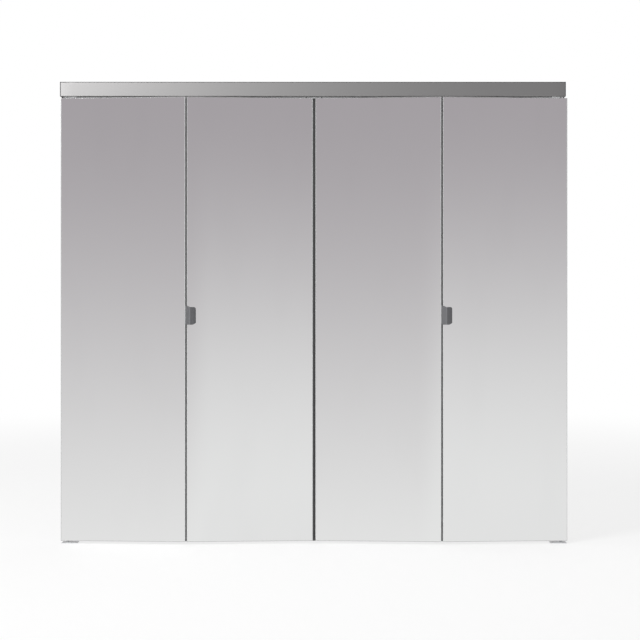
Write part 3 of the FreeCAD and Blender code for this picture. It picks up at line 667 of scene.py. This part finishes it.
def pull_shell(pull):
    """Points of the pull's closed shell, and a mark of edge wear with a painted highlight along
    the ridge.

    An oblong loop with rounded corners is carried along the wall.  It is as wide
    as the wall is thick there, and reaches from the lower to the upper limit.
    """
    centre, across, half, inset = pull_rings(pull)
    quarter = np.linspace(0, math.pi / 2, EDGE_POINTS)
    angle = (quarter + np.arange(4)[:, None] * math.pi / 2).ravel()
    side = np.repeat([1, -1, -1, 1], EDGE_POINTS)
    upper = np.repeat([1, 1, -1, -1], EDGE_POINTS)
    radius = np.minimum(pull.edge_round, half * 0.8)[:, None]
    width = side * (half[:, None] - radius) + np.cos(angle) * radius
    width *= 1 - (inset / half)[:, None]
    plan = centre[:, None, :] + across[:, None, :] * width[:, :, None]
    high = (pull_top(centre[:, 0], pull) - inset)[:, None] - radius
    low = (pull_bottom(centre[:, 0], pull) + inset)[:, None] + radius
    level = np.where(upper > 0, high, low) + np.sin(angle) * radius
    points = np.concatenate([plan, level[:, :, None]], -1)
    edge = np.abs(np.sin(2 * angle)) * np.ones((len(half), 1))
    # The ridge line is a painted highlight; the edges and the lip mark wear.
    ridge = np.exp(-((centre[:, 0] - pull.ridge_x) / pull.ridge_highlight) ** 2)[:, None]
    lip = np.exp(-((centre[:, 0] - pull.lip_x) / pull.lip_rub) ** 2)[:, None]
    return points, np.maximum(np.maximum(edge, ridge), lip)


def give(piece, name, values):
    """Store one number per point of a piece for its material."""
    field = piece.data.attributes.new(name, "FLOAT", "POINT")
    field.data.foreach_set("value", np.asarray(values, dtype=np.float32).ravel())


def on_fold(points, hand, form):
    """Carry points from the closed drawing of a fold to its rest place.

    They turn about the hinge line by the rest angle, which is as far as the
    pivot joint turns back to closed, and move with the line to its rest place.
    """
    joint = joints[hand + "_fold"]
    angle = -math.radians(joints[hand + "_pivot"]["range_deg"][0])
    x = points[..., 0]
    y = points[..., 1] - form.hinge_back
    moved = np.empty_like(points)
    moved[..., 0] = x * math.cos(angle) - y * math.sin(angle) + joint["pos_m"][0]
    moved[..., 1] = x * math.sin(angle) + y * math.cos(angle) + joint["pos_m"][1]
    moved[..., 2] = points[..., 2]
    return moved


def make_pull(hand, pull, form, material):
    """One cast finger pull on the panel to the right of its fold."""
    name = hand + "_finger_pull"
    points, wear_and_highlight = pull_shell(pull)
    rings, around = wear_and_highlight.shape
    points[..., 2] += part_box(name)[1].z - pull.top
    points = on_fold(points, hand, form).reshape(-1, 3)
    faces = outward(points, tube_faces(rings, around))
    piece = new_piece(
        name + "_cast", points, faces, PULL_BODIES[hand], [name], material)
    give(piece, "wear_and_highlight", wear_and_highlight)
    return piece


# ------------------------------------------------------------------- fascia
def fascia_outline(form):
    """Closed outline of the formed trim, as (y, z) corners round the sheet."""
    low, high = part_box("track_fascia")
    wall = form.trim_wall
    face = low.y
    front = face + form.trim_standoff
    back = front + wall
    inner_bottom = low.z + wall
    return np.array([
        (back, high.z), (front, high.z), (face, high.z - form.trim_slope),
        (face, low.z + form.trim_under), (front, low.z), (high.y, low.z),
        (high.y, inner_bottom), (back, inner_bottom), (face + wall, low.z + form.trim_under),
        (face + wall, high.z - form.trim_slope), (back, high.z - wall)])


def make_fascia(form, material):
    """The trim over the track: a bent sheet carried straight along the opening."""
    low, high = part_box("track_fascia")
    ring = rounded_ring(fascia_outline(form), form.trim_bend, TRIM_CORNER_POINTS)
    stations = np.linspace(low.x, high.x, TRIM_STATIONS)
    points = np.empty((len(stations), len(ring), 3))
    points[..., 0] = stations[:, None]
    points[..., 1:] = ring[None]
    points = points.reshape(-1, 3)
    faces = outward(points, tube_faces(len(stations), len(ring)))
    name = "track_fascia"
    piece = new_piece(name + "_formed", points, faces, "header", [name], material)
    # Mark the sloped top edge, where the painted shade line goes.
    shade_foot = high.z - form.trim_slope * 0.9
    give(piece, "shade_painted", points[:, 2] > shade_foot)
    return piece


# ----------------------------------------------------------------- springs
def spring_coil(low, high, radius, wire, turns, closed):
    """A round wire wound on a cylinder, its end turns closed up.

    The angle grows evenly.  The height is the running sum of a pitch, which is
    one wire thickness at both ends and grows from there by a smooth step.  Each
    ring of the wire stands square to the helix.
    """
    share_of = np.linspace(0, 1, int(turns * RINGS_PER_TURN) + 1)
    angle = share_of * turns * 2 * math.pi
    pitch = np.clip(np.minimum(share_of, 1 - share_of) * turns / closed, 0, 1)
    rise = pitch ** 2 * (3 - 2 * pitch) + 2 * wire / ((high - low) / turns)
    height = np.concatenate([[0], np.cumsum((rise[1:] + rise[:-1]) / 2)])
    height = low + wire + (high - low - 2 * wire) * height / height[-1]
    slope = np.gradient(height, angle) / radius
    out = np.stack([np.cos(angle), np.sin(angle), np.zeros_like(angle)], -1)
    onward = np.stack([-np.sin(angle), np.cos(angle), slope], -1)
    onward /= np.linalg.norm(onward, axis=1, keepdims=True)
    up = np.cross(out, onward)
    ring = np.linspace(0, 2 * math.pi, WIRE_SIDES, endpoint=False)[None, :, None]
    centre = out * radius
    centre[:, 2] = height
    return centre[:, None] + wire * (np.cos(ring) * out[:, None] + np.sin(ring) * up[:, None])


def make_spring(name, joint, body, form, material):
    """One spring under a sprung pin."""
    low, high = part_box(name)
    middle = (low + high) / 2
    wire = form.spring_wire
    radius = (high.y - low.y) / 2 - wire
    points = spring_coil(low.z, high.z, radius, wire, form.spring_turns, form.closed_turns)
    rings, around, _ = points.shape
    points = (points + np.array([middle.x, middle.y, 0])).reshape(-1, 3)
    faces = outward(points, tube_faces(rings, around))
    piece = new_piece(name + "_coil", points, faces, body, [name], material)
    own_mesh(piece)
    return piece


# --------------------------------------------------------------- operators
class CLOSET_OT_mirrors(bpy.types.Operator):
    """Silver the four mirror sheets"""
    bl_idname = "closet.mirrors"
    bl_label = "Mirror sheets"

    def execute(self, context):
        finish = mirror_finish(context.scene.closet_finish)
        dress(both("pivot_panel_mirror") + both("lead_panel_mirror"), finish)
        return {"FINISHED"}


class CLOSET_OT_boards(bpy.types.Operator):
    """Finish the panel boards in white melamine"""
    bl_idname = "closet.boards"
    bl_label = "Panel boards"

    def execute(self, context):
        finish = board_finish(context.scene.closet_finish)
        dress(both("pivot_panel_core") + both("lead_panel_core"), finish)
        return {"FINISHED"}


class CLOSET_OT_strips(bpy.types.Operator):
    """Polish the strips round the panels"""
    bl_idname = "closet.strips"
    bl_label = "Edge strips"

    def execute(self, context):
        finish = strip_finish(context.scene.closet_finish)
        dress(both("pivot_panel_edge_strips") + both("lead_panel_edge_strips"), finish)
        return {"FINISHED"}


class CLOSET_OT_track(bpy.types.Operator):
    """Finish the track, its stop and its end caps, and form the trim"""
    bl_idname = "closet.track"
    bl_label = "Track and trim"

    def execute(self, context):
        colors = context.scene.closet_finish
        mill = metal_finish(
            "Mill aluminium", colors.track,
            roughness=0.36, scale=260.0, stretch=LENGTHWISE, depth=0.00004)
        # The end pieces are painted very dark to stand in for the shade at the track's ends.
        cap_shade = enamel_finish("Grey enamel", colors.cap_shade, roughness=0.42, grain=900.0)
        rubber = moulded_finish("Black rubber", colors.rubber, roughness=0.70, grain=700.0)
        dress(["top_track"], mill)
        dress(["left_end_cap", "right_end_cap"], cap_shade)
        dress(["centre_bumper"], rubber)
        make_fascia(context.scene.closet_form, trim_finish(colors))
        return {"FINISHED"}


class CLOSET_OT_hinges(bpy.types.Operator):
    """Finish the hinge leaves, their pins and screws"""
    bl_idname = "closet.hinges"
    bl_label = "Hinges"

    def execute(self, context):
        colors = context.scene.closet_finish
        black = enamel_finish("Black enamel", colors.hinge, roughness=0.36, grain=800.0)
        steel = metal_finish(
            "Plated screw", colors.steel,
            roughness=0.33, scale=800.0, stretch=EVENLY, depth=0.00003, contrast=0.75)
        dress(both("pivot_side_hinge_leaves") + both("lead_side_hinge_leaves"), black)
        dress(both("pivot_side_hinge_screws") + both("lead_side_hinge_screws"), black)
        dress(both("hinge_pins"), black)
        dress(both("finger_pull_screws"), steel)
        dress(["centre_bumper_bolt", "top_block_jack_screws"], steel)
        return {"FINISHED"}


class CLOSET_OT_pivots(bpy.types.Operator):
    """Finish the pivots, guides, blocks and floor plates"""
    bl_idname = "closet.pivots"
    bl_label = "Pivots and guides"

    def execute(self, context):
        colors = context.scene.closet_finish
        zinc = zinc_finish(colors)
        turned = metal_finish(
            "Turned steel", colors.steel,
            roughness=0.24, scale=500.0, stretch=ROUND_ABOUT, depth=0.00003)
        nylon = moulded_finish("Natural nylon", colors.nylon, roughness=0.42, grain=900.0)
        dress(both("top_pivot_block") + both("floor_plate"), zinc)
        dress(both("top_pivot_pin") + both("bottom_pivot_pin") + both("guide_pin"), turned)
        sleeves = both("top_pivot_sleeve") + both("bottom_pivot_sleeve") + both("guide_sleeve")
        dress(sleeves + both("guide_wheel"), nylon)
        return {"FINISHED"}


class CLOSET_OT_springs(bpy.types.Operator):
    """Wind the four springs under the sprung pins"""
    bl_idname = "closet.springs"
    bl_label = "Springs"

    def execute(self, context):
        colors = context.scene.closet_finish
        form = context.scene.closet_form
        oiled = metal_finish(
            "Oiled wire", colors.oiled,
            roughness=0.28, scale=900.0, stretch=EVENLY, depth=0.00002)
        for hand in HANDS:
            top = (hand + "_top_pivot_spring", hand + "_top_pin_press", hand + "_pivot_panel")
            guide = (hand + "_guide_spring", hand + "_guide_pin_press", hand + "_lead_panel")
            make_spring(*top, form, oiled)
            make_spring(*guide, form, oiled)
        return {"FINISHED"}


class CLOSET_OT_seals(bpy.types.Operator):
    """Finish the dark seals in the gaps, whose tone also paints the shade in the gaps"""
    bl_idname = "closet.seals"
    bl_label = "Seals"

    def execute(self, context):
        colors = context.scene.closet_finish
        # Seal tone kept dark so that the gaps read as shaded lines: partly painted shade.
        vinyl_shade = moulded_finish("Black vinyl", colors.vinyl_shade, roughness=0.52, grain=600.0)
        dress(both("fold_seal") + both("meeting_seal"), vinyl_shade)
        return {"FINISHED"}


class CLOSET_OT_pulls(bpy.types.Operator):
    """Cast the two finger pulls"""
    bl_idname = "closet.pulls"
    bl_label = "Finger pulls"

    def execute(self, context):
        settings = context.scene
        finish = pull_finish(settings.closet_finish)
        for hand in HANDS:
            make_pull(hand, settings.closet_pull, settings.closet_form, finish)
        return {"FINISHED"}


# ------------------------------------------------------------------- stage
def make_floor(stage, height):
    """A round floor: shaded near the doors, plain white where it ends."""
    angle = np.linspace(0, 2 * math.pi, FLOOR_SIDES, endpoint=False)
    rim = np.stack([np.cos(angle), np.sin(angle), np.zeros_like(angle)], -1) * stage.floor_radius
    rim[:, 2] = height
    mesh = bpy.data.meshes.new("floor")
    mesh.from_pydata(rim.tolist(), [], [list(range(len(rim)))])
    mesh.materials.append(floor_finish(stage))
    floor = bpy.data.objects.new("floor", mesh)
    bpy.context.scene.collection.objects.link(floor)
    floor.visible_glossy = False


def floor_finish(stage):
    """Matt white mixed with plain white to the eye, wholly plain white far out."""
    material = bpy.data.materials.new("White floor")
    material.use_nodes = True
    shader = Nodes(material.node_tree)
    point = shader.add("ShaderNodeTexCoord", output="Object")
    reach = shader.add("ShaderNodeVectorMath", {"operation": "LENGTH"}, {0: point}, "Value")
    inner = stage.floor_radius * stage.floor_near
    outer = stage.floor_radius * stage.floor_far
    near = 1 - shader.steps(reach, inner, outer)
    matt = shader.add("ShaderNodeBsdfDiffuse", {}, {"Color": (0.98, 0.98, 0.98, 1)})
    glow = shader.add("ShaderNodeEmission", {}, {"Strength": 1.0})
    seen = shader.add("ShaderNodeLightPath", {}, {}, "Is Camera Ray")
    lit = 1 - near * stage.floor_shadow
    surface = shader.add("ShaderNodeMixShader", {}, {0: seen * lit, 1: matt, 2: glow})
    shader.add("ShaderNodeOutputMaterial", {}, {"Surface": surface})
    return material


def reflected_tones(shader, stage):
    """The tone of every direction, as reflections show it.

    A ramp leads from a grey upper tone to a pale lower tone over the height of a
    direction, a little steeper on the right.  Above it lies a dim ceiling, at the
    sides a bright and a dim wall, and below it the ground.
    """
    toward = {"Vector": shader.add("ShaderNodeTexCoord", output="Generated")}
    side = shader.add("ShaderNodeSeparateXYZ", {}, toward, "X")
    height = shader.add("ShaderNodeSeparateXYZ", {}, toward, "Z")
    right = shader.steps(side, *stage.middle)
    end = stage.lower_slope + right * (stage.lower_slope_right - stage.lower_slope)
    curve = shader.steps(height, stage.upper_slope, end) * stage.ramp_curve
    line = shader.steps(height, stage.upper_slope, end, "LINEAR") * (1 - stage.ramp_curve)
    low = shader.mix(right, paint(stage.lower), paint(stage.lower_right))
    tones = shader.mix(curve + line, paint(stage.upper), low)
    near_side, far_side = stage.side_span
    for value, start, stop, tone_there in (
            (height, *stage.ceiling_span, stage.ceiling),
            (side, -near_side, -far_side, stage.side),
            (side, near_side, far_side, stage.side_right),
            (height, *stage.ground_span, stage.ground)):
        tones = shader.mix(shader.steps(value, start, stop), tones, paint(tone_there))
    return tones


def make_surroundings(stage):
    """White to the eye, even soft light on the surfaces, and tones for reflections."""
    world = bpy.data.worlds.new("studio")
    world.use_nodes = True
    shader = Nodes(world.node_tree)
    tones = reflected_tones(shader, stage)
    plain = (1, 1, 1, 1)
    mirrored = shader.add("ShaderNodeBackground", {}, {"Color": tones, "Strength": 1.0})
    even = shader.add("ShaderNodeBackground", {}, {"Color": plain, "Strength": stage.ambient})
    white = shader.add("ShaderNodeBackground", {}, {"Color": plain, "Strength": 1.0})
    glossy = shader.add("ShaderNodeLightPath", {}, {}, "Is Glossy Ray")
    through = shader.add("ShaderNodeLightPath", {}, {}, "Is Transmission Ray")
    eye = shader.add("ShaderNodeLightPath", {}, {}, "Is Camera Ray")
    soft = shader.add("ShaderNodeMixShader", {}, {0: glossy, 1: even, 2: mirrored})
    surface = shader.add("ShaderNodeMixShader", {}, {0: eye + through, 1: soft, 2: white})
    shader.add("ShaderNodeOutputWorld", {}, {"Surface": surface})
    world.cycles.sampling_method = "NONE"
    bpy.context.scene.world = world


def make_lamp(name, power, stage):
    """A square soft lamp high at the left front, aimed at the middle of the track's top face."""
    data = bpy.data.lights.new(name, "AREA")
    data.energy = power
    data.size = stage.lamp_size
    lamp = bpy.data.objects.new(name, data)
    bpy.context.scene.collection.objects.link(lamp)
    lamp.location = stage.lamp_place
    aim = -lamp.location
    lamp.rotation_mode = "QUATERNION"
    lamp.rotation_quaternion = aim.to_track_quat("-Z", "Y")
    return lamp


def make_camera(stage):
    """A level camera square to the doors."""
    data = bpy.data.cameras.new("camera")
    data.sensor_width = stage.sensor
    depth = stage.camera_distance + stage.plane_y
    data.lens = stage.sensor * depth / stage.frame_width
    camera = bpy.data.objects.new("camera", data)
    bpy.context.scene.collection.objects.link(camera)
    camera.location = (stage.camera_x, -stage.camera_distance, stage.camera_z)
    camera.rotation_euler = (math.pi / 2, 0, 0)
    bpy.context.scene.camera = camera


class CLOSET_OT_stage(bpy.types.Operator):
    """Set up the camera, the floor, the lamps and the surroundings"""
    bl_idname = "closet.stage"
    bl_label = "Studio"

    def execute(self, context):
        stage = context.scene.closet_stage
        make_camera(stage)
        make_floor(stage, cad_box[0].z)
        make_surroundings(stage)
        make_lamp("soft_lamp", stage.lamp_power, stage)
        sheen = make_lamp("sheen_lamp", stage.sheen_power, stage)
        sheen.visible_diffuse = False
        context.scene.view_settings.view_transform = "Standard"
        return {"FINISHED"}


OPERATORS = (
    CLOSET_OT_mirrors,
    CLOSET_OT_boards,
    CLOSET_OT_strips,
    CLOSET_OT_track,
    CLOSET_OT_hinges,
    CLOSET_OT_pivots,
    CLOSET_OT_springs,
    CLOSET_OT_seals,
    CLOSET_OT_pulls,
    CLOSET_OT_stage,
)


class CLOSET_PT_panel(bpy.types.Panel):
    """Lists the pieces and their settings"""
    bl_idname = "CLOSET_PT_panel"
    bl_label = "Closet door"
    bl_space_type = "VIEW_3D"
    bl_region_type = "UI"
    bl_category = "Closet door"

    def draw(self, context):
        for operator in OPERATORS:
            self.layout.operator(operator.bl_idname)
        for name, group in SETTINGS.items():
            box = self.layout.box()
            box.label(text=group.__doc__)
            for field in group.__annotations__:
                box.prop(getattr(context.scene, name), field)


CLASSES = tuple(SETTINGS.values()) + OPERATORS + (CLOSET_PT_panel,)


def register():
    """Add the classes, and one group of settings after another to the scene."""
    for item in CLASSES:
        bpy.utils.register_class(item)
    for name, group in SETTINGS.items():
        setattr(bpy.types.Scene, name, bpy.props.PointerProperty(type=group))


def unregister():
    """Take the settings and the classes away again."""
    for name in SETTINGS:
        delattr(bpy.types.Scene, name)
    for item in reversed(CLASSES):
        bpy.utils.unregister_class(item)


def run(operator):
    """Call one operator by its name."""
    section, name = operator.bl_idname.split(".")
    getattr(getattr(bpy.ops, section), name)()


def main():
    """Dress the loaded frame and build the stage."""
    register()
    for operator in OPERATORS:
        run(operator)


if __name__ == "__main__":
    main()
